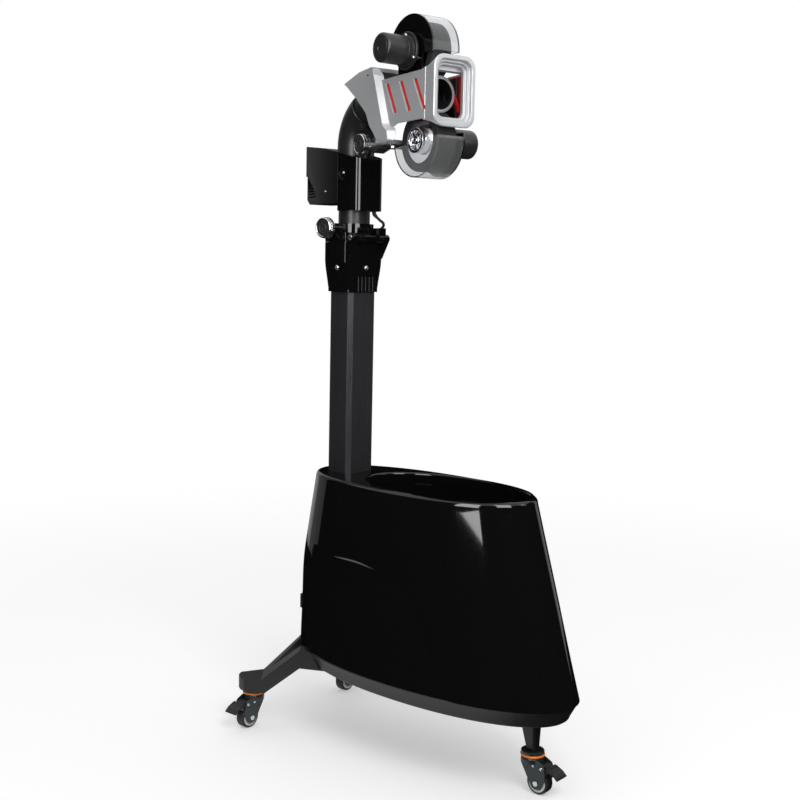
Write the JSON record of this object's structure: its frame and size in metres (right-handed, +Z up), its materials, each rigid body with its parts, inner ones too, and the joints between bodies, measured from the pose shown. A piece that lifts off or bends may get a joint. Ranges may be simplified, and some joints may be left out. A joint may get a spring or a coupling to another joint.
{
  "type": "table tennis robot",
  "caption": "Floor-standing table tennis robot: a tall oval ball hopper on casters, a column, a folding mast and a tilting throwing head with driven wheels above and below its mouth.",
  "frame": {"origin": "middle of the bounding box, on the floor under the casters", "axes": "+Z up; -Y is the way the robot throws when its mast points straight ahead; -X is its right side"},
  "size_m": [0.314, 0.5734, 1.1215],
  "materials": {
    "gloss_black": "polished",
    "satin_grey": "satin, fine texture",
    "black_plastic": "satin",
    "anodised": "dark anodised",
    "silver_paint": "metallic silver",
    "red_plastic": "satin",
    "steel": "bright zinc",
    "chrome": "mirror",
    "clear": "clear, slightly smoky",
    "rubber": "matt",
    "orange": "satin",
    "caster_green": "dark semi-gloss",
    "white_plastic": "satin"
  },
  "bodies": {
    "base": {"chassis_pan": "satin_grey", "rear_right_leg": "satin_grey", "rear_left_leg": "satin_grey", "front_leg": "satin_grey", "hopper_shell": "gloss_black", "ball_tub": "black_plastic", "feed_elbow": "black_plastic", "column_foot": "satin_grey", "column": "anodised", "pickup_motor": "steel", "power_supply": "black_plastic", "power_inlet": "black_plastic", "clamp_casting": "gloss_black", "hinge_pin": "steel", "front_caster_mount": "steel", "front_caster_ring": "orange", "rear_right_caster_mount": "steel", "rear_right_caster_ring": "orange", "rear_left_caster_mount": "steel", "rear_left_caster_ring": "orange"},
    "pickup": {"pickup_disc": "white_plastic"},
    "rocker": {"power_switch": "red_plastic"},
    "front_swivel": {"front_caster_fork": "caster_green"},
    "front_roller": {"front_caster_wheel": "white_plastic", "front_caster_tread": "rubber"},
    "front_brake": {"front_caster_brake": "black_plastic"},
    "rear_right_swivel": {"rear_right_caster_fork": "caster_green"},
    "rear_right_roller": {"rear_right_caster_wheel": "white_plastic", "rear_right_caster_tread": "rubber"},
    "rear_right_brake": {"rear_right_caster_brake": "black_plastic"},
    "rear_left_swivel": {"rear_left_caster_fork": "caster_green"},
    "rear_left_roller": {"rear_left_caster_wheel": "white_plastic", "rear_left_caster_tread": "rubber"},
    "rear_left_brake": {"rear_left_caster_brake": "black_plastic"},
    "fold": {"mast_flange": "gloss_black"},
    "mast_lock": {"mast_knob": "chrome"},
    "mast": {"mast_tube": "black_plastic", "control_housing": "black_plastic", "control_cover": "gloss_black", "cable_lead": "rubber", "elbow": "black_plastic", "tilt_bolt": "steel"},
    "tilt_lock": {"tilt_knob": "chrome"},
    "head": {"tilt_bracket": "steel", "head_housing": "silver_paint", "insert_right": "red_plastic", "insert_left": "red_plastic", "liner_right": "black_plastic", "liner_left": "black_plastic", "outlet_tube": "black_plastic", "upper_motor": "black_plastic", "lower_motor": "black_plastic", "upper_motor_plate": "gloss_black", "lower_motor_plate": "gloss_black", "upper_guard": "clear", "lower_guard": "clear"},
    "upper_wheel": {"upper_wheel_hub": "chrome", "upper_wheel_tyre": "rubber"},
    "lower_wheel": {"lower_wheel_hub": "chrome", "lower_wheel_tyre": "rubber"}
  },
  "joints": [
    {"name": "pickup_spin", "type": "hinge", "parent": "base", "child": "pickup", "pos_m": [0, 0.01976, 0.205], "axis": [0, 0, 1], "continuous": true},
    {"name": "power_rocker", "type": "hinge", "parent": "base", "child": "rocker", "pos_m": [0.015, 0.22976, 0.2], "axis": [1, 0, 0], "range_deg": [-8, 0]},
    {"name": "front_caster_swivel", "type": "hinge", "parent": "base", "child": "front_swivel", "pos_m": [0, -0.22124, 0.05], "axis": [0, 0, 1], "continuous": true},
    {"name": "front_caster_roll", "type": "hinge", "parent": "front_swivel", "child": "front_roller", "pos_m": [0, -0.23524, 0.018], "axis": [1, 0, 0], "continuous": true},
    {"name": "front_caster_brake_lever", "type": "hinge", "parent": "front_swivel", "child": "front_brake", "pos_m": [0, -0.24374, 0.0423], "axis": [1, 0, 0], "range_deg": [0, 12]},
    {"name": "rear_right_caster_swivel", "type": "hinge", "parent": "base", "child": "rear_right_swivel", "pos_m": [-0.105, 0.26176, 0.05], "axis": [0, 0, 1], "continuous": true},
    {"name": "rear_right_caster_roll", "type": "hinge", "parent": "rear_right_swivel", "child": "rear_right_roller", "pos_m": [-0.119, 0.26176, 0.018], "axis": [0, -1, 0], "continuous": true},
    {"name": "rear_right_caster_brake_lever", "type": "hinge", "parent": "rear_right_swivel", "child": "rear_right_brake", "pos_m": [-0.1275, 0.26176, 0.0423], "axis": [0, -1, 0], "range_deg": [0, 12]},
    {"name": "rear_left_caster_swivel", "type": "hinge", "parent": "base", "child": "rear_left_swivel", "pos_m": [0.105, 0.26176, 0.05], "axis": [0, 0, 1], "continuous": true},
    {"name": "rear_left_caster_roll", "type": "hinge", "parent": "rear_left_swivel", "child": "rear_left_roller", "pos_m": [0.119, 0.26176, 0.018], "axis": [0, 1, 0], "continuous": true},
    {"name": "rear_left_caster_brake_lever", "type": "hinge", "parent": "rear_left_swivel", "child": "rear_left_brake", "pos_m": [0.1275, 0.26176, 0.0423], "axis": [0, 1, 0], "range_deg": [0, 12]},
    {"name": "mast_fold", "type": "hinge", "parent": "base", "child": "fold", "pos_m": [0, 0.11776, 0.804], "axis": [1, 0, 0], "range_deg": [0, 90]},
    {"name": "mast_knob_turn", "type": "hinge", "parent": "fold", "child": "mast_lock", "pos_m": [-0.065, 0.14976, 0.818], "axis": [1, 0, 0], "range_deg": [-360, 0]},
    {"name": "mast_turn", "type": "hinge", "parent": "fold", "child": "mast", "pos_m": [0, 0.14976, 0.87], "axis": [0, 0, 1], "range_deg": [-26, 54], "deforming": ["cable_lead"]},
    {"name": "tilt_knob_turn", "type": "hinge", "parent": "mast", "child": "tilt_lock", "pos_m": [-0.04338, 0.09565, 0.944], "axis": [0.9703, -0.2419, 0], "range_deg": [-360, 0]},
    {"name": "head_tilt", "type": "hinge", "parent": "mast", "child": "head", "pos_m": [-0.01524, 0.08863, 0.944], "axis": [0.9703, -0.2419, 0], "range_deg": [-20, 15]},
    {"name": "upper_wheel_spin", "type": "hinge", "parent": "head", "child": "upper_wheel", "pos_m": [-0.04234, -0.02004, 1.0685], "axis": [0.9703, -0.2419, 0], "continuous": true},
    {"name": "lower_wheel_spin", "type": "hinge", "parent": "head", "child": "lower_wheel", "pos_m": [-0.04645, -0.03654, 0.9425], "axis": [0.9703, -0.2419, 0], "continuous": true}
  ]
}
